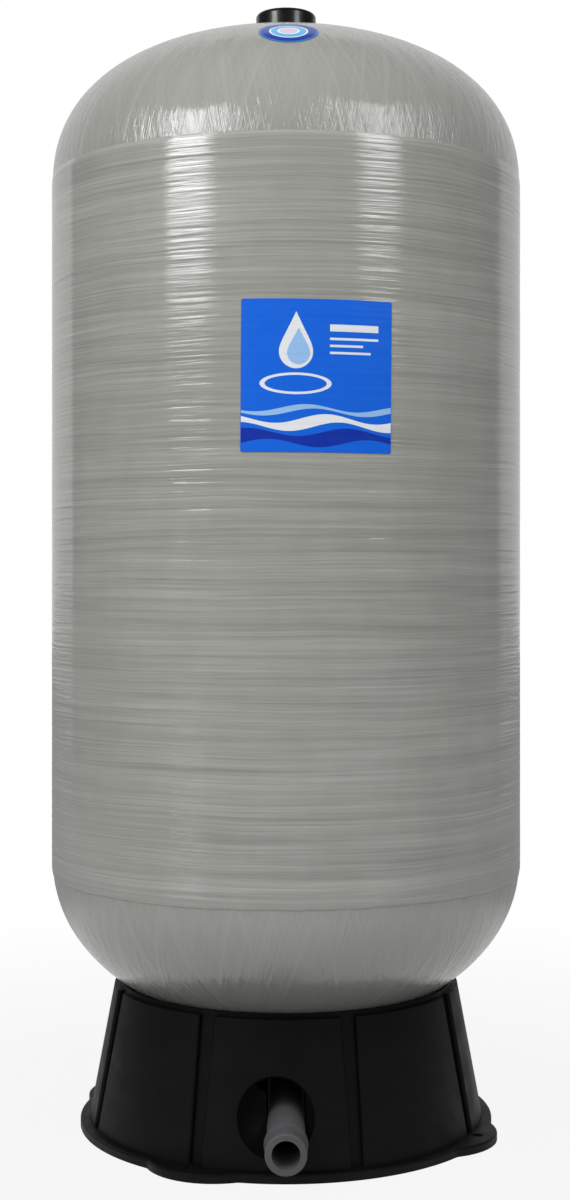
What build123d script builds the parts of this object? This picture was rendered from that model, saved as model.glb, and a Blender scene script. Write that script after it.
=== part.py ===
from build123d import *
import math
import os

# Diaphragm pressure tank: a wound fibreglass vessel on a moulded base.
# Sizes are millimetres. Z is the tank's axis, the floor is Z = 0, and the outlet pipe points along -Y.
# An azimuth is the angle round Z from the front (-Y) towards +X.

# Wound vessel
tank_radius = 265.0
hoop_layer = 1.0
winding_wall = 4.0
hoop_bevel = 1.0
barrel_length = 753.9
upper_dome_height = 171.4
upper_dome_power = 2.33
barrel_above_rim = 137.8
lower_dome_height = 187.3
lower_dome_power = 2.07
hoop_past_upper = 10.1
hoop_past_lower = 16.6
polar_opening_gap = 0.3

# Liner, diaphragm and clamp ring
bond_gap = 0.2
liner_wall = 3.5
liner_joint_height = 378.2
diaphragm_wall = 2.5
diaphragm_rest_gap = 0.5
diaphragm_flange = 3.0
clamp_ring_wall = 4.5
clamp_ring_half_height = 22.0
clamp_gap = 0.3

# Bosses at the two poles
boss_radius = 55.0
neck_radius = 30.0
neck_rise = 25.3
neck_drop = 28.5
well_radius = 25.0
well_depth = 28.4
valve_tube_radius = 14.0
valve_socket_length = 19.0
water_bore_radius = 15.0

# Air valve
valve_thread_radius = 8.0
valve_thread_length = 16.0
valve_hex_flats = 26.0
valve_hex_height = 5.0
valve_stem_radius = 5.0
valve_stem_height = 9.5
valve_tip_radius = 3.85
valve_tip_height = 6.5
valve_bore_radius = 2.6
valve_inlet_radius = 1.8
valve_seal_radius = 10.3
valve_seal_wire = 2.4
seal_groove_gap = 0.1
thread_fit = 0.05

# Valve core
core_radius = 2.5
core_length = 10.0
core_below_tip = 0.8
core_counterbore_radius = 1.9
core_counterbore_depth = 6.0
core_pin_radius = 0.75
core_pin_gap = 0.1
core_pin_below_tip = 0.4
core_collar_radius = 1.6
core_collar_height = 0.8
core_spring_length = 4.4
core_spring_wire = 0.3
core_spring_turns = 6
core_seal_radius = 1.9
core_seal_height = 1.6
core_pin_head_radius = 1.2
core_pin_head_height = 0.4
core_stroke = 1.5
core_room_below = 1.0

# Dust cap
dust_cap_radius = 5.6
dust_cap_height = 8.3
dust_cap_top = 1.8
dust_cap_gap = 0.2
dust_cap_seal_height = 1.0
dust_cap_seal_hole = 1.2
dust_cap_round = 0.8

# Cover cap
cover_cap_radius = 34.0
cover_cap_top = 3.5
cover_cap_reach = 24.8
cover_cap_gap = 0.3
cover_cap_round = 4.5
cover_cap_washer_height = 2.0
cover_cap_washer_inset = 0.4
gate_nub_radius = 1.4
gate_nub_height = 1.0
gate_nub_x = 6.5
gate_nub_y = -24.0

# Elbow and outlet pipe
pipe_radius = 19.75
pipe_bore_radius = 14.4
elbow_drop = 36.4
pipe_end_reach = 291.0
bend_radius = 26.0
outlet_thread_radius = 21.1
outlet_thread_length = 22.0
outlet_collar_radius = 22.5
outlet_collar_length = 12.0
outlet_chamfer = 1.2
elbow_flange_radius = 29.4
elbow_flange_height = 6.5
elbow_seal_radius = 21.5
elbow_seal_wire = 3.5
union_nut_flats = 76.0
union_nut_sides = 8
union_nut_lip = 5.0
union_nut_cover = 20.0
union_nut_gap = 0.3
union_nut_lip_gap = 0.8
union_nut_chamfer = 2.0

# Skirt base
base_yaw = -2.85
base_wall = 4.5
skirt_foot_radius = 222.0
skirt_lean = 0.187
rim_z = 162.0
panel_below_rim = 4.5
panel_raise = 6.5
panel_round = 3.0
groove_count = 8
groove_top_width = 17.0
groove_bottom_width = 12.0
groove_phase = 0.5
cut_overrun = 1.0
seat_gap = 0.2
seat_ledge_radius = 170.0
ledge_below_rim = 14.0
flange_radius = 232.7
flange_height = 9.5
flange_round = 2.5
ear_count = 4
ear_phase = 0.75
ear_tip_radius = 248.5
ear_lobe_radius = 75.0
ear_root_round = 8.0
bolt_circle_radius = 230.0
bolt_hole_radius = 6.0

# Recess round the pipe
recess_above_pipe = 13.4
recess_radius = 42.0
recess_depth = 30.0
pipe_slot_gap = 0.85
keyhole_above_pipe = 66.4
keyhole_radius = 39.5

# Label and sticker
label_width = 152.5
label_height = 153.2
label_thickness = 0.25
label_azimuth = 6.9
label_above_joint = 139.7
label_tilt = -0.4
label_corner = 2.0
sticker_radius = 31.0
sticker_thickness = 0.25
sticker_inset = 69.0
sticker_azimuth = 0.8
sticker_punch_length = 24.0
paper_gap = 0.05

# Heights and radii that follow from the sizes above
panel_top_z = rim_z - panel_below_rim
seat_ledge_z = rim_z - ledge_below_rim
lower_tangent_z = rim_z + barrel_above_rim
upper_tangent_z = lower_tangent_z + barrel_length
hoop_bottom_z = lower_tangent_z - hoop_past_lower
hoop_top_z = upper_tangent_z + hoop_past_upper
liner_joint_z = lower_tangent_z + liner_joint_height
label_z = liner_joint_z + label_above_joint
neck_top_z = upper_tangent_z + upper_dome_height + neck_rise
neck_bottom_z = lower_tangent_z - lower_dome_height - neck_drop
well_floor_z = neck_top_z - well_depth
valve_tube_z = well_floor_z - valve_socket_length
cover_cap_bottom_z = neck_top_z - cover_cap_reach
pipe_axis_z = neck_bottom_z - elbow_drop
recess_z = pipe_axis_z + recess_above_pipe
keyhole_z = pipe_axis_z + keyhole_above_pipe
polar_radius = tank_radius - hoop_layer
sticker_axis_radius = polar_radius - sticker_inset
liner_depth = winding_wall + bond_gap
liner_inside = liner_depth + liner_wall
diaphragm_outside = liner_inside + diaphragm_rest_gap
diaphragm_inside = diaphragm_outside + diaphragm_wall
valve_tip_z = well_floor_z + valve_hex_height + valve_stem_height + valve_tip_height
core_top_z = valve_tip_z - core_below_tip
core_bottom_z = core_top_z - core_length
cap_ceiling_z = neck_top_z + cover_cap_washer_height
union_nut_bore = neck_radius + union_nut_gap

UPPER = (upper_tangent_z, upper_dome_height, upper_dome_power, 1)
LOWER = (lower_tangent_z, lower_dome_height, lower_dome_power, -1)


def dome_z(dome, depth, radius):
    """Height of the dome surface that lies `depth` under the wound surface, at a radius."""
    tangent_z, height, power, side = dome
    share = (radius / (polar_radius - depth)) ** power
    return tangent_z + side * (height - depth) * (1 - share) ** (1 / power)


def dome_tilt(dome, depth, radius):
    """Unit tangent of that surface, pointing towards the axis."""
    step = 0.01
    rise = dome_z(dome, depth, radius - step) - dome_z(dome, depth, radius + step)
    return Vector(-2 * step, 0, rise).normalized()


def dome_edge(dome, depth, inner, outer=None, steps=24):
    """Curve along that surface from its equator, or from `outer`, in to `inner`."""
    tangent_z, height, power, side = dome
    reach = polar_radius - depth
    start = 0.0 if outer is None else math.acos((outer / reach) ** (power / 2))
    end = math.acos((inner / reach) ** (power / 2))
    points = []
    for step in range(steps + 1):
        turn = start + (end - start) * step / steps
        points.append((
            reach * math.cos(turn) ** (2 / power),
            0,
            tangent_z + side * (height - depth) * math.sin(turn) ** (2 / power),
        ))
    first = Vector(0, 0, side) if outer is None else dome_tilt(dome, depth, outer)
    last = Vector(-1, 0, 0) if inner == 0 else dome_tilt(dome, depth, inner)
    return Spline(*points, tangents=(first, last))


def line(*corners):
    """Straight edges through (radius, z) corners."""
    return Polyline(*[(radius, 0, z) for radius, z in corners])


def turned(*curves):
    """Solid turned round Z from curves that close an outline in the XZ plane."""
    edges = [edge for curve in curves for edge in curve.edges()]
    return revolve(make_face(edges), Axis.Z)


def turned_corners(*corners):
    """Solid turned round Z from (radius, z) corners."""
    return turned(line(*corners, corners[0]))


def tube(outer, inner, bottom, top):
    """Upright ring."""
    return turned_corners((inner, bottom), (outer, bottom), (outer, top), (inner, top))


def rod(radius, bottom, top):
    """Upright cylinder on the axis."""
    return Pos(0, 0, bottom) * Cylinder(radius, top - bottom, align=(Align.CENTER, Align.CENTER, Align.MIN))


def o_ring(radius, wire, z):
    """Ring of round section, its centre plane at z."""
    return Pos(0, 0, z) * Torus(radius, wire / 2)


def at_azimuth(azimuth, solid):
    return Rot(0, 0, azimuth) * solid


# Vessel

def winding_shell():
    opening = neck_radius + polar_opening_gap
    top_out = dome_z(UPPER, 0, opening)
    top_in = dome_z(UPPER, winding_wall, opening)
    low_out = dome_z(LOWER, 0, opening)
    low_in = dome_z(LOWER, winding_wall, opening)
    inner = polar_radius - winding_wall
    shell = turned(
        dome_edge(UPPER, 0, opening),
        line((opening, top_out), (opening, top_in)),
        dome_edge(UPPER, winding_wall, opening),
        line((inner, upper_tangent_z), (inner, lower_tangent_z)),
        dome_edge(LOWER, winding_wall, opening),
        line((opening, low_in), (opening, low_out)),
        dome_edge(LOWER, 0, opening),
        line((polar_radius, lower_tangent_z), (polar_radius, upper_tangent_z)),
    )
    under = polar_radius - winding_wall / 2
    hoop = turned_corners(
        (under, hoop_bottom_z),
        (tank_radius - hoop_bevel, hoop_bottom_z),
        (tank_radius, hoop_bottom_z + hoop_bevel),
        (tank_radius, hoop_top_z - hoop_bevel),
        (tank_radius - hoop_bevel, hoop_top_z),
        (under, hoop_top_z),
    )
    return shell + hoop


def upper_liner():
    joint_z = liner_joint_z + diaphragm_flange
    outside = polar_radius - liner_depth
    inside = polar_radius - liner_inside
    return turned(
        dome_edge(UPPER, liner_depth, boss_radius),
        line((boss_radius, dome_z(UPPER, liner_depth, boss_radius)),
             (boss_radius, dome_z(UPPER, liner_inside, boss_radius))),
        dome_edge(UPPER, liner_inside, boss_radius),
        line((inside, upper_tangent_z), (inside, joint_z), (outside, joint_z), (outside, upper_tangent_z)),
    )


def lower_liner():
    outside = polar_radius - liner_depth
    inside = polar_radius - liner_inside
    return turned(
        dome_edge(LOWER, liner_depth, boss_radius),
        line((boss_radius, dome_z(LOWER, liner_depth, boss_radius)),
             (boss_radius, dome_z(LOWER, liner_inside, boss_radius))),
        dome_edge(LOWER, liner_inside, boss_radius),
        line((inside, lower_tangent_z), (inside, liner_joint_z), (outside, liner_joint_z),
             (outside, lower_tangent_z)),
    )


def diaphragm():
    outside = polar_radius - diaphragm_outside
    inside = polar_radius - diaphragm_inside
    edge = polar_radius - liner_depth
    top = liner_joint_z + diaphragm_flange
    return turned(
        dome_edge(LOWER, diaphragm_outside, 0),
        line((0, dome_z(LOWER, diaphragm_outside, 0)), (0, dome_z(LOWER, diaphragm_inside, 0))),
        dome_edge(LOWER, diaphragm_inside, 0),
        line((inside, lower_tangent_z), (inside, top), (edge, top), (edge, liner_joint_z),
             (outside, liner_joint_z), (outside, lower_tangent_z)),
    )


def clamp_ring():
    against_rubber = polar_radius - diaphragm_inside - clamp_gap
    against_liner = polar_radius - liner_inside - clamp_gap
    inside = against_rubber - clamp_ring_wall
    shoulder_z = liner_joint_z + diaphragm_flange
    return turned_corners(
        (inside, liner_joint_z - clamp_ring_half_height),
        (against_rubber, liner_joint_z - clamp_ring_half_height),
        (against_rubber, shoulder_z),
        (against_liner, shoulder_z),
        (against_liner, liner_joint_z + clamp_ring_half_height),
        (inside, liner_joint_z + clamp_ring_half_height),
    )


# Bosses

def valve_boss():
    bore = valve_thread_radius + thread_fit
    under_z = dome_z(UPPER, liner_inside, boss_radius)
    boss = turned(
        dome_edge(UPPER, liner_depth, neck_radius, boss_radius, steps=3),
        line(
            (neck_radius, dome_z(UPPER, liner_depth, neck_radius)),
            (neck_radius, neck_top_z),
            (well_radius, neck_top_z),
            (well_radius, well_floor_z),
            (bore, well_floor_z),
            (bore, valve_tube_z),
            (valve_tube_radius, valve_tube_z),
            (valve_tube_radius, under_z),
            (boss_radius, under_z),
            (boss_radius, dome_z(UPPER, liner_depth, boss_radius)),
        ),
    )
    seal_out = valve_seal_radius + valve_seal_wire / 2 + seal_groove_gap
    seal_in = valve_seal_radius - valve_seal_wire / 2 - seal_groove_gap
    return boss - tube(seal_out, seal_in, well_floor_z - valve_seal_wire, well_floor_z)


def water_boss():
    return turned(
        dome_edge(LOWER, liner_depth, neck_radius, boss_radius, steps=3),
        line(
            (neck_radius, dome_z(LOWER, liner_depth, neck_radius)),
            (neck_radius, neck_bottom_z),
            (water_bore_radius, neck_bottom_z),
            (water_bore_radius, dome_z(LOWER, liner_inside, water_bore_radius)),
        ),
        dome_edge(LOWER, liner_inside, water_bore_radius, boss_radius, steps=3),
        line((boss_radius, dome_z(LOWER, liner_inside, boss_radius)),
             (boss_radius, dome_z(LOWER, liner_depth, boss_radius))),
    )


# Air valve and its core

def air_valve_body():
    hex_top = well_floor_z + valve_hex_height
    stem_top = hex_top + valve_stem_height
    hexagon = RegularPolygon(valve_hex_flats / 2, 6, major_radius=False)
    body = Pos(0, 0, well_floor_z) * extrude(hexagon, valve_hex_height)
    body += rod(valve_thread_radius, well_floor_z - valve_thread_length, well_floor_z)
    body += rod(valve_stem_radius, hex_top, stem_top)
    body += rod(valve_tip_radius, stem_top, valve_tip_z)
    pin_bottom_z = core_bottom_z - core_seal_height - core_pin_head_height
    seal_room_z = pin_bottom_z - core_stroke - core_room_below
    body -= rod(valve_bore_radius, seal_room_z, valve_tip_z)
    return body - rod(valve_inlet_radius, well_floor_z - valve_thread_length, seal_room_z)


def air_valve_o_ring():
    return o_ring(valve_seal_radius, valve_seal_wire, well_floor_z - valve_seal_wire / 2)


def core_shoulder_z():
    return core_top_z - core_counterbore_depth


def valve_core_barrel():
    barrel = rod(core_radius, core_bottom_z, core_top_z)
    barrel -= rod(core_counterbore_radius, core_shoulder_z(), core_top_z)
    return barrel - rod(core_pin_radius + core_pin_gap, core_bottom_z, core_shoulder_z())


def valve_core_pin():
    collar_z = core_shoulder_z() + core_spring_length
    seal_bottom_z = core_bottom_z - core_seal_height
    pin = rod(core_pin_radius, seal_bottom_z - core_pin_head_height, valve_tip_z - core_pin_below_tip)
    pin += rod(core_collar_radius, collar_z, collar_z + core_collar_height)
    return pin + rod(core_pin_head_radius, seal_bottom_z - core_pin_head_height, seal_bottom_z)


def valve_core_seal():
    return tube(core_seal_radius, core_pin_radius, core_bottom_z - core_seal_height, core_bottom_z)


def valve_core_spring():
    coil_radius = (core_pin_radius + core_pin_gap + core_collar_radius) / 2
    rise = core_spring_length - core_spring_wire
    coil = Helix(rise / core_spring_turns, rise, coil_radius)
    section = Plane(coil @ 0, z_dir=coil % 0) * Circle(core_spring_wire / 2)
    return Pos(0, 0, core_shoulder_z() + core_spring_wire / 2) * sweep(section, coil)


# Caps

def dust_cap():
    inside = valve_tip_radius + dust_cap_gap
    ceiling_z = valve_tip_z + dust_cap_seal_height
    top_z = ceiling_z + dust_cap_top
    cap = rod(dust_cap_radius, top_z - dust_cap_height, top_z)
    cap = fillet(cap.edges().sort_by(Axis.Z)[-1], dust_cap_round)
    return cap - rod(inside, top_z - dust_cap_height, ceiling_z)


def dust_cap_seal():
    return tube(valve_tip_radius, dust_cap_seal_hole, valve_tip_z, valve_tip_z + dust_cap_seal_height)


def cover_cap():
    top_z = cap_ceiling_z + cover_cap_top
    cap = rod(cover_cap_radius, cover_cap_bottom_z, top_z)
    cap = fillet(cap.edges().sort_by(Axis.Z)[-1], cover_cap_round)
    cap -= rod(neck_radius + cover_cap_gap, cover_cap_bottom_z, cap_ceiling_z)
    nub = rod(gate_nub_radius, top_z - gate_nub_height, top_z + gate_nub_height)
    return cap + Pos(gate_nub_x, gate_nub_y, 0) * nub


def cover_cap_washer():
    inset = cover_cap_washer_inset
    return tube(neck_radius - inset, well_radius + inset, neck_top_z, cap_ceiling_z)


# Elbow, its seal and its nut

def elbow_flange_bottom_z():
    return neck_bottom_z - elbow_flange_height


def elbow_stem(radius, top_z, end_y):
    """Upright leg, quarter bend and level pipe of one radius."""
    bend_z = pipe_axis_z + bend_radius
    leg = rod(radius, bend_z, top_z)
    start = Plane.XY.offset(bend_z) * Circle(radius)
    pivot = Axis((0, -bend_radius, bend_z), (-1, 0, 0))
    bend = revolve(start, pivot, 90)
    pipe = Pos(0, -bend_radius, pipe_axis_z) * Rot(90, 0, 0) * Cylinder(
        radius, end_y - bend_radius, align=(Align.CENTER, Align.CENTER, Align.MIN))
    return leg + bend + pipe


def outlet_end():
    """Threaded end with its lead chamfer, and the collar that it runs out into."""
    tip = pipe_end_reach
    collar_front = tip - outlet_thread_length
    collar_back = collar_front - outlet_collar_length
    outline = Polyline(
        (0, collar_back),
        (outlet_collar_radius, collar_back),
        (outlet_thread_radius, collar_front),
        (outlet_thread_radius, tip - outlet_chamfer),
        (outlet_thread_radius - outlet_chamfer, tip),
        (0, tip),
        (0, collar_back),
    )
    return Pos(0, 0, pipe_axis_z) * Rot(90, 0, 0) * revolve(Plane.XZ * make_face(outline), Axis.Z)


def outlet_elbow():
    elbow = elbow_stem(pipe_radius, neck_bottom_z, pipe_end_reach - outlet_thread_length)
    elbow += rod(elbow_flange_radius, elbow_flange_bottom_z(), neck_bottom_z)
    elbow += outlet_end()
    seal_out = elbow_seal_radius + elbow_seal_wire / 2 + seal_groove_gap
    seal_in = elbow_seal_radius - elbow_seal_wire / 2 - seal_groove_gap
    elbow -= tube(seal_out, seal_in, neck_bottom_z - elbow_seal_wire, neck_bottom_z)
    return elbow - elbow_stem(pipe_bore_radius, neck_bottom_z, pipe_end_reach)


def elbow_o_ring():
    return o_ring(elbow_seal_radius, elbow_seal_wire, neck_bottom_z - elbow_seal_wire / 2)


def elbow_union_nut():
    lip_z = elbow_flange_bottom_z() - union_nut_lip
    top_z = neck_bottom_z + union_nut_cover
    outline = RegularPolygon(union_nut_flats / 2, union_nut_sides, major_radius=False)
    nut = Pos(0, 0, lip_z) * extrude(outline, top_z - lip_z)
    rims = nut.edges().group_by(Axis.Z)[0] + nut.edges().group_by(Axis.Z)[-1]
    nut = chamfer(rims, union_nut_chamfer)
    nut -= rod(union_nut_bore, elbow_flange_bottom_z(), top_z)
    return nut - rod(pipe_radius + union_nut_lip_gap, lip_z, elbow_flange_bottom_z())


# Skirt base

def panel_face(z):
    """Radius of the raised panels' faces at a height."""
    return skirt_foot_radius - (z - flange_height) * skirt_lean


def groove_bar(inset):
    """Radial bar, wider at its top, that keeps the panels apart."""
    low_half = groove_bottom_width / 2 + inset
    high_half = groove_top_width / 2 + inset
    outline = make_face(Polyline(
        (-low_half, -cut_overrun),
        (low_half, -cut_overrun),
        (high_half, rim_z),
        (-high_half, rim_z),
        (-low_half, -cut_overrun),
    ))
    start = panel_face(rim_z) - panel_raise - inset - cut_overrun
    end = panel_face(0) + cut_overrun
    return extrude(Plane.XZ.offset(start) * outline, end - start)


def skirt_block(inset):
    """The skirt's solid form, `inset` under its surface: a cone with raised panels."""
    core_low = panel_face(0) - panel_raise - inset
    core_high = panel_face(rim_z) - panel_raise - inset
    core = turned_corners((0, 0), (core_low, 0), (core_high, rim_z), (0, rim_z))
    top_z = panel_top_z - inset
    panels = turned_corners(
        (0, 0), (panel_face(0) - inset, 0), (panel_face(top_z) - inset, top_z), (0, top_z))
    for groove in range(groove_count):
        azimuth = (groove + groove_phase) * 360 / groove_count
        panels -= at_azimuth(azimuth, groove_bar(inset))
    if inset == 0:
        panels = fillet(raised_edges(panels, top_z), panel_round)
    return core + panels


def raised_edges(panels, top_z):
    """Edges round each panel's face: its two sides and its top."""
    tolerance = 0.01
    chosen = []
    for edge in panels.edges():
        middle = edge.center(CenterOf.MASS)
        reach = math.hypot(middle.X, middle.Y)
        ends = sorted(vertex.Z for vertex in edge.vertices())
        on_face = reach > panel_face(middle.Z) - panel_raise / 2
        is_top = len(ends) == 2 and ends[0] > top_z - tolerance and on_face
        is_side = len(ends) == 2 and ends[1] - ends[0] > top_z / 2 and on_face
        if is_top or is_side:
            chosen.append(edge)
    return chosen


def recess_ball(radius):
    """Ball whose cap makes the dish, centred outside the front panel."""
    face_tilt = math.atan(skirt_lean)
    ball_radius = (recess_radius ** 2 + recess_depth ** 2) / (2 * recess_depth)
    out = ball_radius - recess_depth
    centre_y = -panel_face(recess_z) - out * math.cos(face_tilt)
    centre_z = recess_z + out * math.sin(face_tilt)
    return Pos(0, centre_y, centre_z) * Sphere(ball_radius + radius)


def keyhole():
    """Clearance for the pipe's wide end, and the slot under it that the pipe drops into."""
    reach = panel_face(0)
    slot_radius = pipe_radius + pipe_slot_gap
    low = Pos(0, 0, pipe_axis_z) * Rot(90, 0, 0) * rod(slot_radius, 0, reach)
    high = Pos(0, 0, keyhole_z) * Rot(90, 0, 0) * rod(keyhole_radius, 0, reach)
    rise = keyhole_z - pipe_axis_z
    slot = Pos(0, -reach / 2, pipe_axis_z + rise / 2) * Box(2 * slot_radius, reach, rise)
    return low + high + slot


def flange_plate():
    outline = Circle(flange_radius)
    lobe_x = ear_tip_radius - ear_lobe_radius
    for ear in range(ear_count):
        outline += Rot(0, 0, (ear + ear_phase) * 360 / ear_count) * Pos(0, -lobe_x) * Circle(ear_lobe_radius)
    outline = fillet(outline.vertices(), ear_root_round)
    plate = extrude(outline, flange_height)
    top_edges = plate.edges().group_by(Axis.Z)[-1]
    plate = fillet(top_edges, flange_round)
    for ear in range(ear_count):
        azimuth = (ear + ear_phase) * 360 / ear_count
        plate -= at_azimuth(azimuth, Pos(0, -bolt_circle_radius, 0) * rod(bolt_hole_radius, 0, flange_height))
    return plate


def seat_cutter():
    """Room for the lower dome above the seat ledge."""
    reach = panel_face(panel_top_z)
    return turned(
        dome_edge(LOWER, -seat_gap, seat_ledge_radius, reach, steps=4),
        line(
            (seat_ledge_radius, dome_z(LOWER, -seat_gap, seat_ledge_radius)),
            (seat_ledge_radius, 0),
            (0, 0),
            (0, lower_tangent_z),
            (reach, lower_tangent_z),
            (reach, dome_z(LOWER, -seat_gap, reach)),
        ),
    )


def skirt_base():
    cavity = skirt_block(base_wall) & rod(flange_radius, 0, seat_ledge_z)
    body = skirt_block(0) + flange_plate() - cavity
    dish = recess_ball(base_wall) & cavity
    body = at_azimuth(base_yaw, body)
    dish = at_azimuth(base_yaw, dish) - keyhole()
    body = body + dish - at_azimuth(base_yaw, recess_ball(0))
    return body - seat_cutter()


# Label and sticker

def body_label():
    sheet = tube(tank_radius + paper_gap + label_thickness, tank_radius + paper_gap,
                 label_z - label_height, label_z + label_height)
    outline = RectangleRounded(label_width, label_height, label_corner)
    block = Plane.XZ * Rot(0, 0, label_tilt) * extrude(outline, tank_radius + cut_overrun)
    return at_azimuth(label_azimuth, sheet & (Pos(0, 0, label_z) * block))


def dome_sticker():
    reach = sticker_axis_radius
    low = -paper_gap
    high = -paper_gap - sticker_thickness
    inner = reach - sticker_radius
    outer = reach + sticker_radius
    sheet = turned(
        dome_edge(UPPER, low, inner, outer, steps=6),
        line((inner, dome_z(UPPER, low, inner)), (inner, dome_z(UPPER, high, inner))),
        dome_edge(UPPER, high, inner, outer, steps=6),
        line((outer, dome_z(UPPER, high, outer)), (outer, dome_z(UPPER, low, outer))),
    )
    tangent = dome_tilt(UPPER, 0, reach)
    tilt = math.degrees(math.atan2(tangent.Z, -tangent.X))
    middle_z = dome_z(UPPER, 0, reach)
    punch = Pos(0, -reach, middle_z) * Rot(tilt, 0, 0) * Cylinder(sticker_radius, sticker_punch_length)
    return at_azimuth(sticker_azimuth, sheet & punch)


PIECES = [
    winding_shell,
    upper_liner,
    lower_liner,
    diaphragm,
    clamp_ring,
    valve_boss,
    water_boss,
    air_valve_body,
    air_valve_o_ring,
    valve_core_barrel,
    valve_core_pin,
    valve_core_seal,
    valve_core_spring,
    dust_cap,
    dust_cap_seal,
    cover_cap,
    cover_cap_washer,
    outlet_elbow,
    elbow_o_ring,
    elbow_union_nut,
    skirt_base,
    body_label,
    dome_sticker,
]

os.makedirs("parts", exist_ok=True)
for piece in PIECES:
    export_step(piece(), f"parts/{piece.__name__}.step")
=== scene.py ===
import math

import bpy
import numpy as np
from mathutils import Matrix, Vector

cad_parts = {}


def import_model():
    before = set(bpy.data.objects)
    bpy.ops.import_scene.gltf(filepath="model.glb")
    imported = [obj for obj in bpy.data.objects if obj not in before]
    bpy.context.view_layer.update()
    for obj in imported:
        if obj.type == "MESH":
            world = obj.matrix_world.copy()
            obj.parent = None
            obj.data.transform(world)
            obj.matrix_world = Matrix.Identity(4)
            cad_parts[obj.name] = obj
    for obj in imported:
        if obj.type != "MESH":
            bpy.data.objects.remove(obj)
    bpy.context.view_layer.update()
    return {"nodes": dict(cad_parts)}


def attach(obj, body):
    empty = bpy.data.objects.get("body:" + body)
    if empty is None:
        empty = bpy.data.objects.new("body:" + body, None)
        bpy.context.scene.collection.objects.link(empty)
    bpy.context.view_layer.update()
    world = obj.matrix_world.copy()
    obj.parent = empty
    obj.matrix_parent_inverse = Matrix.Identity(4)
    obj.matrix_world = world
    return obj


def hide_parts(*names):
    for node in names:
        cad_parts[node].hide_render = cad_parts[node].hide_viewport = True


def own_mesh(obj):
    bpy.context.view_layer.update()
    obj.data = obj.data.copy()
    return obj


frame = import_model()

# Diaphragm pressure tank: wound fibreglass vessel, black moulded base, threaded outlet and air valve.
# Sizes are millimetres until they become mesh points; MM turns them into metres.
MM = 0.001

# Wound vessel, as in the frame
tank_radius = 265.0
polar_radius = 264.0
winding_wall = 4.0
opening_radius = 30.3
upper_tangent_z = 1053.7
upper_dome_height = 171.4
upper_dome_power = 2.33
lower_tangent_z = 299.8
lower_dome_height = 187.3
lower_dome_power = 2.07
hoop_top_z = 1063.8
hoop_bottom_z = 283.2

# Winding texture
polar_columns = 576
dome_rows = 62
inner_dome_rows = 12
polar_relief = 0.08
polar_waves_round = (70, 270)
polar_waves_along = 4
fibre_tangent_radius = 58.0
hoop_columns = 144
hoop_rows = 624
hoop_relief = 0.07
hoop_wave_longest = 13.0
hoop_wave_shortest = 4.0
hoop_waves_round = 7
hoop_breaks_round = 46
hoop_edge_fray = 0.9
hoop_edge_bevel = 10.0
seam_gap = 0.06

# Label and sticker, as in the frame
label_width = 152.5
label_height = 153.2
label_azimuth = 6.9
label_z = 817.7
label_tilt = -0.4
label_corner = 2.0
label_inner_radius = 265.05
label_thickness = 0.2
ink_thickness = 0.05
label_columns = 64
sticker_radius = 31.0
sticker_axis_radius = 195.0
sticker_azimuth = 0.8

# Camera: the photograph is 570 by 1200 pixels
photo_height = 1200.0
camera_distance = 2120.0
camera_height = 623.3
focal_pixels = 1859.7
sensor_width = 36.0
horizon_above_middle = 29.7
axis_right_of_middle = 1.0

# Light
world_fill = 0.42
key_fill = 1.22
key_direction = (-0.22, -0.66, 0.72)
backdrop_half_angle = 54.5
front_reflection = 0.05
softbox_distance = 2.0
low_card_azimuth = 43.8


def srgb(red, green, blue):
    """Linear colour from 0..255 sRGB values."""
    linear = []
    for value in (red, green, blue):
        share = value / 255
        linear.append(share / 12.92 if share <= 0.04045 else ((share + 0.055) / 1.055) ** 2.4)
    return (*linear, 1.0)


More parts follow.
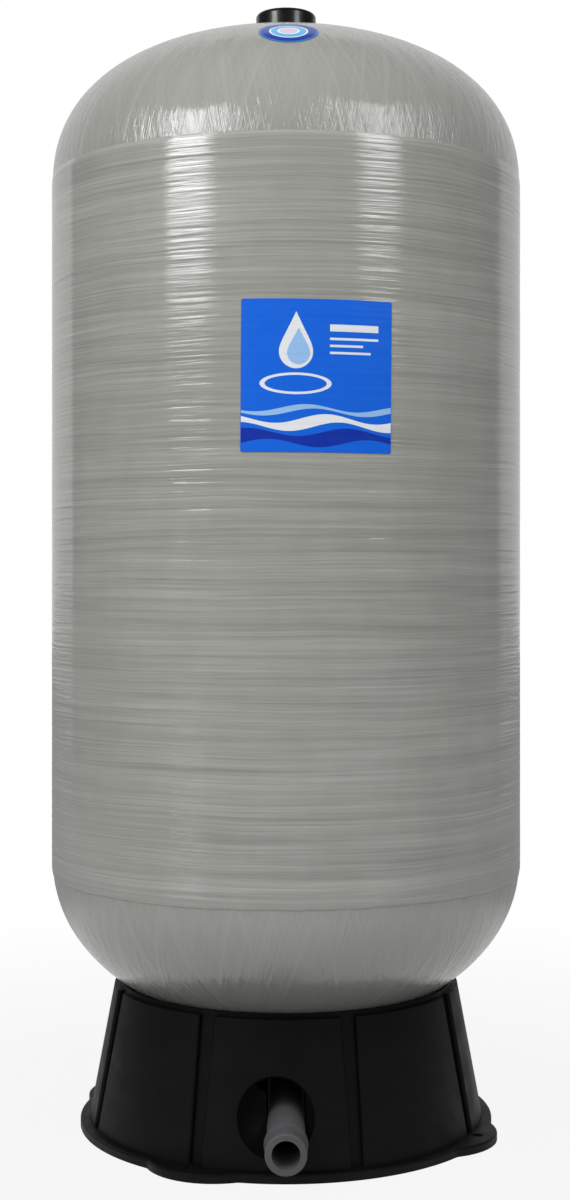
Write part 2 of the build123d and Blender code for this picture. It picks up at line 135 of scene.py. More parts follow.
class Look:
    """A node material, built one node a call. An input is a value or another node's output."""

    def __init__(self, name, **shader_inputs):
        self.material = bpy.data.materials.new(name)
        self.material.use_nodes = True
        self.tree = self.material.node_tree
        self.shader = self.tree.nodes["Principled BSDF"]
        self.set(self.shader, shader_inputs)

    def set(self, node, inputs):
        for name, value in inputs.items():
            socket = node.inputs[name.replace("_", " ")] if isinstance(name, str) else node.inputs[name]
            if isinstance(value, bpy.types.NodeSocket):
                self.tree.links.new(value, socket)
            else:
                socket.default_value = value

    def add(self, kind, inputs=None, **settings):
        node = self.tree.nodes.new("ShaderNode" + kind)
        for name, value in settings.items():
            setattr(node, name, value)
        self.set(node, inputs or {})
        return node.outputs[0]

    def position(self):
        """Object coordinates, which are the frame's metres."""
        return self.tree.nodes.new("ShaderNodeTexCoord").outputs["Object"]

    def attribute(self, name):
        node = self.tree.nodes.new("ShaderNodeAttribute")
        node.attribute_name = name
        return node.outputs["Vector"]

    def noise(self, vector, scale, stretch=(1, 1, 1), detail=2.0, roughness=0.5):
        """Noise from 0 to 1 with its own scale along each axis."""
        mapped = self.add("Mapping", {"Vector": vector, "Scale": [scale * s for s in stretch]})
        return self.add("TexNoise", {"Vector": mapped, "Scale": 1.0, "Detail": detail, "Roughness": roughness})

    def spread(self, value, low, high, to_low=0.0, to_high=1.0):
        """The value's range low..high stretched to to_low..to_high."""
        return self.add("MapRange", {"Value": value, "From Min": low, "From Max": high,
                                     "To Min": to_low, "To Max": to_high})

    def blend(self, factor, first, second):
        node = self.tree.nodes.new("ShaderNodeMix")
        node.data_type = "RGBA"
        for socket, value in zip((node.inputs[0], node.inputs[6], node.inputs[7]), (factor, first, second)):
            if isinstance(value, bpy.types.NodeSocket):
                self.tree.links.new(value, socket)
            else:
                socket.default_value = value
        return node.outputs[2]

    def sum(self, first, second, operation="ADD"):
        return self.add("Math", {0: first, 1: second}, operation=operation)

    def bump(self, height, distance, strength=1.0, under=None):
        inputs = {"Height": height, "Distance": distance, "Strength": strength}
        if under is not None:
            inputs["Normal"] = under
        return self.add("Bump", inputs)

    def finish(self, **shader_inputs):
        self.set(self.shader, {name.replace("_", " "): value for name, value in shader_inputs.items()})
        return self.material


# Materials

def resin(name, streak_vector_a, streak_vector_b, across, along):
    """Glossy cured resin over grey fibre. `across` and `along` are streak scales a metre."""
    look = Look(name, Roughness=0.42, IOR=1.4)
    first = look.attribute(streak_vector_a)
    second = look.attribute(streak_vector_b)
    stretch = (across, across, along)
    fine_a = look.noise(first, 1.0, stretch, detail=3.0, roughness=0.6)
    fine_b = look.noise(second, 1.0, stretch, detail=3.0, roughness=0.6)
    wide_a = look.noise(first, 0.22, stretch, detail=2.0)
    wide_b = look.noise(second, 0.22, stretch, detail=2.0)
    patch = look.noise(look.position(), 9.0, detail=3.0)
    fine = look.sum(fine_a, fine_b, "MAXIMUM")
    wide = look.sum(wide_a, wide_b, "MAXIMUM")
    tone = look.sum(look.spread(fine, 0.35, 0.75, 0.0, 0.5), look.spread(wide, 0.35, 0.75, 0.0, 0.5))
    body = look.blend(tone, srgb(143, 143, 138), srgb(159, 159, 155))
    colour = look.blend(look.spread(patch, 0.3, 0.7, 0.0, 0.35), body, srgb(148, 147, 139))
    normal = look.bump(fine, 0.0009, 0.9)
    normal = look.bump(wide, 0.0018, 0.8, under=normal)
    gloss = look.spread(fine, 0.3, 0.7, 0.36, 0.50)
    return look.finish(Base_Color=colour, Roughness=gloss, Normal=normal, Coat_Normal=normal,
                       Coat_Weight=1.0, Coat_Roughness=0.015, Coat_IOR=1.7)


def hoop_resin():
    """The same resin over the hoop winding, whose fibres run level round the barrel."""
    look = Look("resin_hoop_winding", Roughness=0.42, IOR=1.4)
    place = look.position()
    sway = look.noise(place, 6.0, (1, 1, 1.6), detail=1.0)
    lift = look.add("CombineXYZ", {"Z": look.spread(sway, 0.0, 1.0, -0.004, 0.004)})
    course = look.add("VectorMath", {0: place, 1: lift}, operation="ADD")
    fine = look.noise(course, 1.0, (5, 5, 520), detail=3.0, roughness=0.6)
    bands = look.noise(course, 1.0, (2.5, 2.5, 130), detail=2.0, roughness=0.5)
    tows = look.noise(course, 1.0, (1.2, 1.2, 45), detail=1.0)
    patch = look.noise(place, 7.0, detail=3.0)
    mottle = look.noise(place, 34.0, (1, 1, 0.6), detail=2.0)
    # The tone follows the same ridge noise as the bump, lighter on the crests and darker in the troughs:
    # partly the fibre's own banding, partly painted shade of the level ridges.
    tone = look.sum(look.spread(fine, 0.35, 0.65, 0.0, 0.42), look.spread(bands, 0.3, 0.7, 0.0, 0.46))
    tone = look.sum(tone, look.spread(mottle, 0.3, 0.7, 0.0, 0.12))
    body = look.blend(tone, srgb(131, 131, 126), srgb(171, 171, 166))
    colour = look.blend(look.spread(patch, 0.3, 0.7, 0.0, 0.4), body, srgb(150, 149, 142))
    normal = look.bump(fine, 0.0004, 0.8)
    normal = look.bump(bands, 0.0008, 0.7, under=normal)
    normal = look.bump(tows, 0.0010, 0.35, under=normal)
    gloss = look.spread(fine, 0.3, 0.7, 0.36, 0.50)
    return look.finish(Base_Color=colour, Roughness=gloss, Normal=normal, Coat_Normal=normal,
                       Coat_Weight=1.0, Coat_Roughness=0.015, Coat_IOR=1.7)


def moulded(name, colour, worn, grain=900.0, roughness=0.5, specular=0.4, depth=0.00006, coat=0.0):
    """Moulded plastic: fine grain, faint flow marks and slightly duller patches."""
    look = Look(name)
    place = look.position()
    grains = look.noise(place, grain, detail=2.0)
    flow = look.noise(place, 14.0, (1, 1, 2.5), detail=4.0, roughness=0.6)
    dull = look.noise(place, 38.0, detail=3.0)
    tint = look.blend(look.spread(flow, 0.4, 0.75, 0.0, 1.0), colour, worn)
    rough = look.sum(look.spread(dull, 0.3, 0.7, roughness - 0.06, roughness + 0.08),
                     look.spread(grains, 0.3, 0.7, -0.03, 0.03))
    normal = look.bump(grains, depth, 0.7)
    normal = look.bump(flow, depth * 6, 0.3, under=normal)
    return look.finish(Base_Color=tint, Roughness=rough, Normal=normal, Specular_IOR_Level=specular,
                       Coat_Weight=coat, Coat_Roughness=0.08)


def metal(name, colour, shade, roughness, turned_scale=0.0):
    """Machined metal with turning marks along Z and a little tarnish."""
    look = Look(name, Metallic=1.0)
    place = look.position()
    marks = look.noise(place, 1.0, (60, 60, turned_scale or 1500), detail=2.0)
    tarnish = look.noise(place, 160.0, detail=4.0, roughness=0.6)
    tint = look.blend(look.spread(tarnish, 0.42, 0.72), colour, shade)
    rough = look.spread(tarnish, 0.3, 0.7, roughness - 0.06, roughness + 0.12)
    return look.finish(Base_Color=tint, Roughness=rough, Normal=look.bump(marks, 0.00003, 0.5))


def rubber(name, colour, bloom):
    """Matt rubber with a dusty bloom and a fine pebble."""
    look = Look(name)
    place = look.position()
    pebble = look.noise(place, 1400.0, detail=3.0)
    dust = look.noise(place, 30.0, detail=5.0, roughness=0.65)
    tint = look.blend(look.spread(dust, 0.45, 0.8), colour, bloom)
    return look.finish(Base_Color=tint, Roughness=look.spread(dust, 0.3, 0.8, 0.62, 0.85),
                       Normal=look.bump(pebble, 0.00005, 0.6), Specular_IOR_Level=0.3)


def printed_film(name, colour, shade):
    """Printed film on the barrel: the winding under it shows through as faint level ridges."""
    look = Look(name)
    place = look.position()
    ridges = look.noise(place, 1.0, (4, 4, 260), detail=2.0)
    mottle = look.noise(place, 55.0, detail=3.0)
    tint = look.blend(look.spread(ridges, 0.3, 0.75, 0.0, 0.8), colour, shade)
    rough = look.spread(mottle, 0.3, 0.7, 0.30, 0.42)
    return look.finish(Base_Color=tint, Roughness=rough, Normal=look.bump(ridges, 0.00035, 0.5),
                       Specular_IOR_Level=0.2, Coat_Weight=0.04, Coat_Roughness=0.12)


def sticker_print_and_painted_highlight():
    """Plain round sticker: blue rim, pale middle and one light arc; the pinkish centre disc is a painted
    highlight.
    """
    look = Look("sticker_print_and_painted_highlight")
    azimuth = math.radians(sticker_azimuth)
    reach = sticker_axis_radius * MM
    z = dome_height(UPPER, sticker_axis_radius) * MM
    middle = (reach * math.sin(azimuth), -reach * math.cos(azimuth), z)
    offset = look.add("VectorMath", {0: look.position(), 1: middle}, operation="SUBTRACT")
    length = look.tree.nodes.new("ShaderNodeVectorMath")
    length.operation = "LENGTH"
    look.set(length, {0: offset})
    radius = look.spread(length.outputs["Value"], 0.0, sticker_radius * MM)
    rings = look.tree.nodes.new("ShaderNodeValToRGB")
    rings.color_ramp.interpolation = "CONSTANT"
    stops = (
        # Pinkish centre disc: a painted highlight, the lilac sheen on the sticker put into its colour.
        (0.0, srgb(206, 182, 202)),
        (0.32, srgb(222, 230, 236)),
        (0.37, srgb(84, 168, 218)),
        (0.60, srgb(222, 230, 236)),
        (0.65, srgb(14, 54, 146)),
        (0.92, srgb(40, 112, 182)),
    )
    while len(rings.color_ramp.elements) < len(stops):
        rings.color_ramp.elements.new(0.5)
    for element, (place, colour) in zip(rings.color_ramp.elements, stops):
        element.position = place
        element.color = colour
    look.set(rings, {"Fac": radius})
    mottle = look.noise(look.position(), 90.0, detail=3.0)
    return look.finish(Base_Color=rings.outputs["Color"], Roughness=look.spread(mottle, 0.3, 0.7, 0.28, 0.4),
                       Normal=look.bump(mottle, 0.0002, 0.4), Coat_Weight=0.4, Coat_Roughness=0.1)


# Wound surface

UPPER = (upper_tangent_z, upper_dome_height, upper_dome_power, 1)
LOWER = (lower_tangent_z, lower_dome_height, lower_dome_power, -1)


def dome_height(dome, radius, depth=0.0):
    """Height of the dome surface at a radius."""
    tangent_z, height, power, side = dome
    share = (np.minimum(radius, polar_radius - depth) / (polar_radius - depth)) ** power
    return tangent_z + side * (height - depth) * (1 - share) ** (1 / power)


def dome_profile(dome, depth, rows):
    """Evenly spaced (radius, z) points from the equator in to the polar opening."""
    tangent_z, height, power, side = dome
    reach = polar_radius - depth
    last = math.acos((opening_radius / reach) ** (power / 2))
    turn = np.linspace(0, last, 4000)
    radius = reach * np.cos(turn) ** (2 / power)
    z = tangent_z + side * (height - depth) * np.sin(turn) ** (2 / power)
    length = np.concatenate([[0], np.cumsum(np.hypot(np.diff(radius), np.diff(z)))])
    even = np.linspace(0, length[-1], rows)
    return np.interp(even, length, radius), np.interp(even, length, z), even


def random_field(rng, rows, columns, down, around):
    """Random field with whole numbers of waves down its rows and round its columns, sd 1."""
    waves_down = np.abs(np.fft.fftfreq(rows) * rows)[:, None]
    waves_round = np.arange(columns // 2 + 1)[None, :]
    inside = (waves_down >= down[0]) & (waves_down <= down[1])
    inside = inside & (waves_round >= around[0]) & (waves_round <= around[1])
    spectrum = rng.normal(size=inside.shape) + 1j * rng.normal(size=inside.shape)
    field = np.fft.irfft2(spectrum * inside, s=(rows, columns))
    return field / field.std()


def swung(field, angles):
    """Each row of a field turned round the axis by its own angle."""
    waves = np.arange(field.shape[1] // 2 + 1)[None, :]
    turned_rows = np.fft.rfft(field, axis=1) * np.exp(-1j * waves * angles[:, None])
    return np.fft.irfft(turned_rows, n=field.shape[1], axis=1)


def fibre_swing(radius, length):
    """Angle that a wound fibre gains along the dome: it runs tangent to a circle round the pole."""
    tangent = np.minimum(fibre_tangent_radius, radius * 0.96)
    rate = tangent / (radius * np.sqrt(radius ** 2 - tangent ** 2))
    steps = (rate[1:] + rate[:-1]) / 2 * np.diff(length)
    return np.concatenate([[0], np.cumsum(steps)])


def ring_points(radius, z, columns):
    """Rows of points round Z. `radius` may hold a value for each point."""
    turn = np.linspace(0, 2 * math.pi, columns, endpoint=False)[None, :]
    radius = np.broadcast_to(radius if radius.ndim == 2 else radius[:, None], (len(z), columns))
    height = np.broadcast_to(z if z.ndim == 2 else z[:, None], (len(z), columns))
    return np.stack([radius * np.cos(turn), radius * np.sin(turn), height], axis=-1)


def closed_ring_mesh(name, points, sharp_degrees=40.0):
    """Ring-shaped solid: rows of points joined in order, the last row to the first."""
    rows, columns = points.shape[:2]
    number = np.arange(rows * columns).reshape(rows, columns)
    below = np.roll(number, -1, axis=0)
    faces = np.stack([number, np.roll(number, -1, axis=1), np.roll(below, -1, axis=1), below], axis=-1)
    mesh = bpy.data.meshes.new(name)
    mesh.from_pydata((points * MM).reshape(-1, 3).tolist(), [], faces.reshape(-1, 4).tolist())
    return placed(name, mesh, sharp_degrees)


def placed(name, mesh, sharp_degrees=40.0):
    mesh.validate()
    mesh.shade_smooth()
    mesh.set_sharp_from_angle(angle=math.radians(sharp_degrees))
    piece = bpy.data.objects.new(name, mesh)
    bpy.context.scene.collection.objects.link(piece)
    return piece


def give(piece, material, body="tank", replaced=()):
    piece.data.materials.clear()
    piece.data.materials.append(material)
    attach(piece, body)
    if replaced:
        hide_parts(*replaced)


def store_vectors(piece, name, vectors):
    """Vector attribute on a piece's points, in metres, for its material."""
    attribute = piece.data.attributes.new(name, "FLOAT_VECTOR", "POINT")
    attribute.data.foreach_set("vector", (vectors * MM).reshape(-1).astype(np.float32))


def polar_winding():
    """Both domes and the barrel under the hoops: crossing fibres fan over each dome."""
    rng = np.random.default_rng(7)
    outer_rows, swings, reliefs, lengths = [], [], [], []
    for dome in (UPPER, LOWER):
        radius, z, length = dome_profile(dome, 0.0, dome_rows)
        swing = fibre_swing(radius, length)
        waves = ((0, polar_waves_along), polar_waves_round)
        leaning = swung(random_field(rng, dome_rows, polar_columns, *waves), swing)
        crossing = swung(random_field(rng, dome_rows, polar_columns, *waves), -swing)
        relief = np.clip(np.maximum(leaning, crossing), -1.0, 3.0) - 3.0
        fade = np.clip((radius - opening_radius) / 40.0, 0.0, 1.0)[:, None]
        outer_rows.append((radius, z))
        swings.append(swing)
        reliefs.append(relief * polar_relief * fade)
        lengths.append(length)
    inner = [dome_profile(dome, winding_wall, inner_dome_rows) for dome in (UPPER, LOWER)]

    def join(upper, lower, inner_upper, inner_lower):
        return np.concatenate([upper[::-1], lower, inner_lower[::-1], inner_upper])

    def plain(rows):
        return np.zeros((rows, polar_columns))

    radius = join(outer_rows[0][0], outer_rows[1][0], inner[0][0], inner[1][0])
    z = join(outer_rows[0][1], outer_rows[1][1], inner[0][1], inner[1][1])
    relief = join(reliefs[0], reliefs[1], plain(inner_dome_rows), plain(inner_dome_rows))
    outward, upward = outward_normals(radius, z)
    points = ring_points(radius[:, None] + relief * outward[:, None], z[:, None] + relief * upward[:, None],
                         polar_columns)
    piece = closed_ring_mesh("polar_winding", points[::-1])
    turn = np.linspace(0, 2 * math.pi, polar_columns, endpoint=False)[None, :]
    none = np.zeros(inner_dome_rows)
    swing = join(swings[0], swings[1], none, none)[:, None]
    along = join(lengths[0], -lengths[1], none, none)[:, None] + 0 * turn
    for name, lean in (("fibre_a", -1.0), ("fibre_b", 1.0)):
        angle = turn + lean * swing
        vectors = np.stack([polar_radius * np.cos(angle), polar_radius * np.sin(angle), along], axis=-1)
        store_vectors(piece, name, vectors[::-1])
    return piece


def outward_normals(radius, z):
    """Unit normals of a closed (radius, z) outline that runs down its outside."""
    d_radius = np.roll(radius, -1) - np.roll(radius, 1)
    d_z = np.roll(z, -1) - np.roll(z, 1)
    size = np.hypot(d_radius, d_z)
    return -d_z / size, d_radius / size


def hoop_winding():
    """Sleeve of level fibres round the barrel, with ridges and a slightly uneven edge."""
    rng = np.random.default_rng(11)
    columns = hoop_columns
    length = hoop_top_z - hoop_bottom_z
    down = (length / hoop_wave_longest, length / hoop_wave_shortest)
    ridges = random_field(rng, hoop_rows, columns, down, (0, hoop_waves_round))
    breaks = random_field(rng, hoop_rows, columns, down, (0, hoop_breaks_round))
    swell = random_field(rng, hoop_rows, columns, (1, 12), (0, 4))
    relief = hoop_relief * np.clip(0.8 * ridges + 0.6 * breaks, -2.6, 2.6) + 0.04 * np.clip(swell, -2, 2)
    relief -= relief.max()
    z = np.linspace(hoop_top_z, hoop_bottom_z, hoop_rows)
    edge = np.minimum(hoop_top_z - z, z - hoop_bottom_z) / hoop_edge_bevel
    shoulder = (1 - np.clip(edge, 0, 1)) ** 2 * (tank_radius - polar_radius)
    fray = random_field(rng, 2, columns, (0, 1), (1, 24)).clip(-2, 2) * hoop_edge_fray / 2
    pull = np.clip(1 - edge / 6, 0, 1)[:, None]
    upper_half = (z > (hoop_top_z + hoop_bottom_z) / 2)[:, None]
    drawn = np.where(upper_half, -np.abs(fray[0]), np.abs(fray[1])) * pull
    outer = ring_points(tank_radius + relief - shoulder[:, None], z[:, None] + drawn, columns)
    inner_z = np.linspace(hoop_bottom_z + hoop_edge_fray, hoop_top_z - hoop_edge_fray, 24)
    inner = ring_points(seat_radius(inner_z), inner_z, columns)
    return closed_ring_mesh("hoop_winding", np.concatenate([outer, inner])[::-1])


def seat_radius(z):
    """Radius of the polar winding at heights near the barrel."""
    radius = np.full_like(z, polar_radius)
    for tangent_z, height, power, side in (UPPER, LOWER):
        past = np.clip(side * (z - tangent_z), 0, None) / height
        radius = np.minimum(radius, polar_radius * (1 - past ** power) ** (1 / power))
    return radius - seam_gap


# Own copies of frame parts

def shortening_copy(node):
    """The node's own form as a piece of its own on the tank, with the node hidden."""
    source = frame["nodes"][node]
    mesh = source.data.copy()
    mesh.transform(source.matrix_world)
    piece = bpy.data.objects.new(node + "_formed", mesh)
    bpy.context.scene.collection.objects.link(piece)
    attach(piece, "tank")
    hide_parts(node)
    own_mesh(piece)


# Label

def label_point(across, up, radius):
    """Point on the barrel from millimetres across and up the label."""
    tilt = math.radians(label_tilt)
    x = across * math.cos(tilt) - up * math.sin(tilt)
    z = across * math.sin(tilt) + up * math.cos(tilt)
    azimuth = math.radians(label_azimuth) + math.asin(x / tank_radius)
    return (radius * math.sin(azimuth), -radius * math.cos(azimuth), label_z + z)


def film(name, stations, radius, thickness):
    """Thin curved piece between a lower and an upper edge, given as (across, low, high)."""
    points, faces = [], []
    for across, low, high in stations:
        for depth in (thickness, 0.0):
            points.append(label_point(across, low, radius + depth))
            points.append(label_point(across, high, radius + depth))
    for station in range(len(stations) - 1):
        a = 4 * station
        b = a + 4
        faces.append((a, b, b + 1, a + 1))
        faces.append((a + 3, b + 3, b + 2, a + 2))
        faces.append((a + 2, b + 2, b, a))
        faces.append((a + 1, b + 1, b + 3, a + 3))
    end = 4 * (len(stations) - 1)
    faces.append((0, 1, 3, 2))
    faces.append((end + 2, end + 3, end + 1, end))
    mesh = bpy.data.meshes.new(name)
    mesh.from_pydata([tuple(v * MM for v in point) for point in points], [], faces)
    return placed(name, mesh)


def label_sheet():
    half_width, half_height = label_width / 2, label_height / 2
    stations = []
    for step in range(label_columns + 1):
        across = -half_width * math.cos(math.pi * step / label_columns)
        past = max(0.0, abs(across) - (half_width - label_corner))
        drop = label_corner - math.sqrt(max(0.0, label_corner ** 2 - past ** 2))
        stations.append((across, -half_height + drop, half_height - drop))
    return film("label_sheet", stations, label_inner_radius, label_thickness)


def disc_stations(middle, up, radius, steps=28, squash=1.0):
    """Stations of a filled ellipse on the label."""
    stations = []
    for step in range(steps + 1):
        turn = math.pi * step / steps
        half = max(0.02, radius * squash * math.sin(turn))
        stations.append((middle - radius * math.cos(turn), up - half, up + half))
    return stations


def drop_stations(middle, up, radius, tip, steps=30):
    """Stations of a water drop with its point upwards, `tip` above its middle."""
    stations = []
    for step in range(steps + 1):
        turn = math.pi * step / steps
        across = -radius * math.cos(turn)
        half = max(0.02, radius * math.sin(turn))
        lean = 1 - abs(across) / radius
        stations.append((middle + across, up - half, up + half + (tip - radius) * lean ** 1.6))
    return stations


def wave_stations(base, rise, thick, waves, phase, steps=72):
    """Stations of a wavy band right across the label, swelling from crest to trough."""
    half = label_width / 2 - 0.4
    stations = []
    for step in range(steps + 1):
        across = -half + 2 * half * step / steps
        turn = 2 * math.pi * waves * step / steps + phase
        middle = base + rise * math.sin(turn)
        width = thick * (1.0 + 0.45 * math.cos(turn))
        stations.append((across, middle - width / 2, middle + width / 2))
    return stations


def label_art():
    """Plain water design: a drop over ripples with three wave bands along the foot."""
    ink_radius = label_inner_radius + label_thickness + 0.01
    over_radius = ink_radius + ink_thickness + 0.01
    white = printed_film("label_white_ink", srgb(226, 230, 233), srgb(212, 216, 221))
    pale = printed_film("label_pale_ink", srgb(150, 190, 232), srgb(134, 176, 222))
    deep = printed_film("label_deep_ink", srgb(6, 48, 168), srgb(5, 42, 150))
    blue = printed_film("label_blue_ground", srgb(2, 99, 220), srgb(2, 91, 210))
    pieces = [
        ("label_wave_deep", wave_stations(-62.0, 3.2, 11.0, 1.5, 0.6), ink_radius, deep),
        ("label_wave_white", wave_stations(-47.0, 4.2, 8.0, 1.5, 2.2), ink_radius, white),
        ("label_wave_pale", wave_stations(-34.5, 3.6, 4.2, 1.5, 3.6), ink_radius, pale),
        ("label_ripple_white", disc_stations(-22.0, -8.0, 36.0, squash=0.30), ink_radius, white),
        ("label_ripple_gap", disc_stations(-22.0, -8.0, 31.0, squash=0.27), over_radius, blue),
        ("label_drop", drop_stations(-22.0, 24.0, 17.0, 40.0), ink_radius, white),
        ("label_drop_shade", drop_stations(-19.5, 22.5, 11.5, 25.0), over_radius, pale),
    ]
    for number, (width, height) in enumerate(((50.0, 7.0), (50.0, 2.4), (34.0, 2.4), (42.0, 2.4))):
        up = (48.0, 37.0, 30.0, 23.0)[number]
        stations = [(12.0 + width * step / 12, up - height / 2, up + height / 2) for step in range(13)]
        pieces.append((f"label_rule_{number}", stations, ink_radius, white))
    return pieces, blue


# Studio

def area_light(name, width, height, place, aim, watts):
    data = bpy.data.lights.new(name, "AREA")
    data.shape = "RECTANGLE"
    data.size = width
    data.size_y = height
    data.energy = watts
    lamp = bpy.data.objects.new(name, data)
    bpy.context.scene.collection.objects.link(lamp)
    lamp.location = place
    lamp.rotation_euler = (Vector(aim) - Vector(place)).to_track_quat("-Z", "Y").to_euler()
    return lamp


def round_the_tank(azimuth, distance, z):
    """Place at an azimuth from the front (-Y) towards +X."""
    turn = math.radians(azimuth)
    return (distance * math.sin(turn), -distance * math.cos(turn), z)


def lights():
    softboxes = (
        ("softbox_left", -44.5, 0.68, 1.40, 2.25, 16.5),
        ("softbox_right", 42.9, 0.60, 1.47, 2.45, 11.0),
    )
    for name, azimuth, width, low_z, high_z, watts in softboxes:
        middle_z = (low_z + high_z) / 2
        place = round_the_tank(azimuth, softbox_distance, middle_z)
        area_light(name, width, high_z - low_z, place, (0, 0, middle_z), watts)
    for name, side, watts in (("low_card_left", -1, 0.30), ("low_card_right", 1, 0.10)):
        place = round_the_tank(side * low_card_azimuth, 1.7, 0.04)
        area_light(name, 0.5, 0.05, place, (0, 0, 0.04), watts)


def world():
    """White for the camera. Other rays get a plain fill, and gloss sees a white backdrop behind the tank."""
    scene_world = bpy.data.worlds.new("studio")
    bpy.context.scene.world = scene_world
    scene_world.use_nodes = True
    tree = scene_world.node_tree
    background = tree.nodes["Background"]

    def add(kind, inputs, **settings):
        node = tree.nodes.new("ShaderNode" + kind)
        for name, value in settings.items():
            setattr(node, name, value)
        for name, value in inputs.items():
            if isinstance(value, bpy.types.NodeSocket):
                tree.links.new(value, node.inputs[name])
            else:
                node.inputs[name].default_value = value
        return node

    direction = add("TexCoord", {}).outputs["Generated"]
    parts = add("SeparateXYZ", {"Vector": direction})
    edge = math.cos(math.radians(backdrop_half_angle))
    behind = add("MapRange", {"Value": parts.outputs["Y"], "From Min": edge - 0.012, "From Max": edge + 0.012,
                              "To Min": front_reflection, "To Max": 0.62})
    facing = add("VectorMath", {0: direction, 1: key_direction}, operation="DOT_PRODUCT")
    lobe = add("Math", {0: facing.outputs["Value"], 1: 0.0}, operation="MAXIMUM")
    squared = add("Math", {0: lobe.outputs[0], 1: 2.0}, operation="POWER")
    upward = add("MapRange", {"Value": parts.outputs["Z"], "From Min": -0.5, "From Max": 0.9,
                              "To Min": world_fill * 0.3, "To Max": world_fill * 1.4})
    fill = add("Math", {0: squared.outputs[0], 1: key_fill, 2: upward.outputs[0]}, operation="MULTIPLY_ADD")
    path = add("LightPath", {})
    reflected = add("Math", {0: path.outputs["Is Glossy Ray"], 1: path.outputs["Is Transmission Ray"]},
                    operation="MAXIMUM")
    seen = add("Mix", {0: reflected.outputs[0], 2: fill.outputs[0], 3: behind.outputs[0]}, data_type="FLOAT")
    level = add("Mix", {0: path.outputs["Is Camera Ray"], 2: seen.outputs[0], 3: 1.0}, data_type="FLOAT")
    tree.links.new(level.outputs[0], background.inputs["Strength"])
    background.inputs["Color"].default_value = (1.0, 1.0, 1.0, 1.0)


def floor():
    """Pale floor that keeps the shadow near the tank and runs out into the white backdrop."""
    half = 12.0
    mesh = bpy.data.meshes.new("studio_floor")
    corners = [(-half, -half, 0), (half, -half, 0), (half, half, 0), (-half, half, 0)]
    mesh.from_pydata(corners, [], [(0, 1, 2, 3)])
    piece = bpy.data.objects.new("studio_floor", mesh)
    bpy.context.scene.collection.objects.link(piece)
    look = Look("studio_floor_white", Base_Color=srgb(128, 128, 128), Roughness=0.9, Specular_IOR_Level=0.1)
    tree = look.tree
    place = look.add("SeparateXYZ", {"Vector": look.position()})
    flat = look.add("CombineXYZ", {"X": place, "Y": tree.nodes[-1].outputs["Y"]})
    length = tree.nodes.new("ShaderNodeVectorMath")
    length.operation = "LENGTH"
    look.set(length, {0: flat})
    outside = look.spread(length.outputs["Value"], 0.19, 0.21)
    path = tree.nodes.new("ShaderNodeLightPath")
    far_share = look.spread(length.outputs["Value"], 0.4, 1.3, 0.9, 1.0)
    sweep = look.spread(length.outputs["Value"], 0.7, 1.1, 0.62, 0.1)
    reflected = look.sum(path.outputs["Is Glossy Ray"], path.outputs["Is Transmission Ray"], "MAXIMUM")
    seen = look.sum(path.outputs["Is Camera Ray"], far_share, "MULTIPLY")
    mirrored = look.sum(reflected, sweep, "MULTIPLY")
    share = look.sum(look.sum(seen, mirrored, "MAXIMUM"), outside, "MULTIPLY")
    glow = look.add("Emission", {"Color": (1, 1, 1, 1), "Strength": 1.0})
    mixed = look.add("MixShader", {0: share, 1: look.shader.outputs[0], 2: glow})
    tree.links.new(mixed, tree.nodes["Material Output"].inputs["Surface"])
    mesh.materials.append(look.material)


def camera():
    data = bpy.data.cameras.new("camera")
    data.sensor_width = sensor_width
    data.lens = sensor_width * focal_pixels / photo_height
    data.shift_x = -axis_right_of_middle / photo_height
    data.shift_y = -horizon_above_middle / photo_height
    data.clip_end = 60.0
    piece = bpy.data.objects.new("camera", data)
    bpy.context.scene.collection.objects.link(piece)
    piece.location = (0.0, -camera_distance * MM, camera_height * MM)
    piece.rotation_euler = (math.pi / 2, 0.0, 0.0)
    bpy.context.scene.camera = piece


# Pieces and their looks

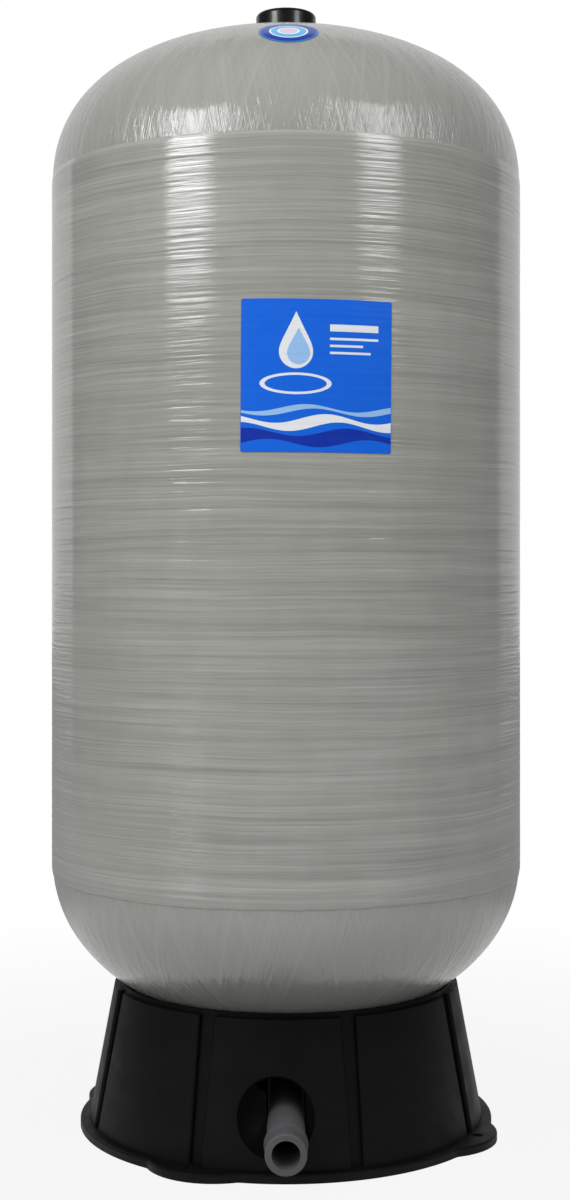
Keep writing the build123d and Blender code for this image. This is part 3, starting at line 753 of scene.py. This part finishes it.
def dress_nodes():
    """Materials for the frame's own pieces."""
    black = moulded("base_black_plastic", srgb(8, 8, 8), srgb(13, 13, 13), roughness=0.5, specular=0.16,
                    depth=0.0001)
    gloss_black = moulded("cap_black_plastic", srgb(9, 9, 9), srgb(14, 14, 14), grain=500.0, roughness=0.3,
                          specular=0.5, depth=0.00002, coat=0.4)
    pipe_grey = moulded("pipe_grey_plastic", srgb(78, 78, 80), srgb(88, 88, 90), roughness=0.55, specular=0.3)
    nut_grey = moulded("nut_grey_plastic", srgb(58, 58, 60), srgb(66, 66, 68), roughness=0.45)
    boss_black = moulded("boss_black_plastic", srgb(28, 28, 30), srgb(36, 36, 38), roughness=0.42)
    liner_white = moulded("liner_natural_plastic", srgb(206, 205, 196), srgb(192, 190, 178), roughness=0.4)
    brass = metal("valve_brass_turned", srgb(196, 160, 92), srgb(150, 116, 62), 0.3)
    steel = metal("spring_steel_wire", srgb(176, 176, 178), srgb(132, 132, 136), 0.28)
    seal = rubber("seal_black_rubber", srgb(20, 20, 21), srgb(34, 34, 35))
    butyl = rubber("diaphragm_butyl", srgb(26, 26, 28), srgb(44, 44, 46))
    looks = {
        "skirt_base": black,
        "cover_cap": gloss_black,
        "dust_cap": gloss_black,
        "outlet_elbow": pipe_grey,
        "elbow_union_nut": nut_grey,
        "valve_boss": boss_black,
        "water_boss": boss_black,
        "clamp_ring": boss_black,
        "upper_liner": liner_white,
        "lower_liner": liner_white,
        "air_valve_body": brass,
        "valve_core_barrel": brass,
        "valve_core_pin": brass,
        "valve_core_spring": steel,
        "air_valve_o_ring": seal,
        "elbow_o_ring": seal,
        "valve_core_seal": seal,
        "dust_cap_seal": seal,
        "cover_cap_washer": seal,
        "diaphragm": butyl,
        "dome_sticker": sticker_print_and_painted_highlight(),
    }
    for node, material in looks.items():
        mesh = frame["nodes"][node].data
        mesh.materials.clear()
        mesh.materials.append(material)


def build():
    camera()
    world()
    floor()
    lights()
    dress_nodes()
    give(polar_winding(), resin("resin_polar_winding", "fibre_a", "fibre_b", 420.0, 3.0),
         replaced=["winding_shell"])
    give(hoop_winding(), hoop_resin(), replaced=["winding_shell"])
    shortening_copy("diaphragm")
    shortening_copy("valve_core_spring")
    art, blue = label_art()
    give(label_sheet(), blue, replaced=["body_label"])
    for name, stations, radius, material in art:
        give(film(name, stations, radius, ink_thickness), material)


build()
bpy.context.scene.view_settings.view_transform = "Standard"
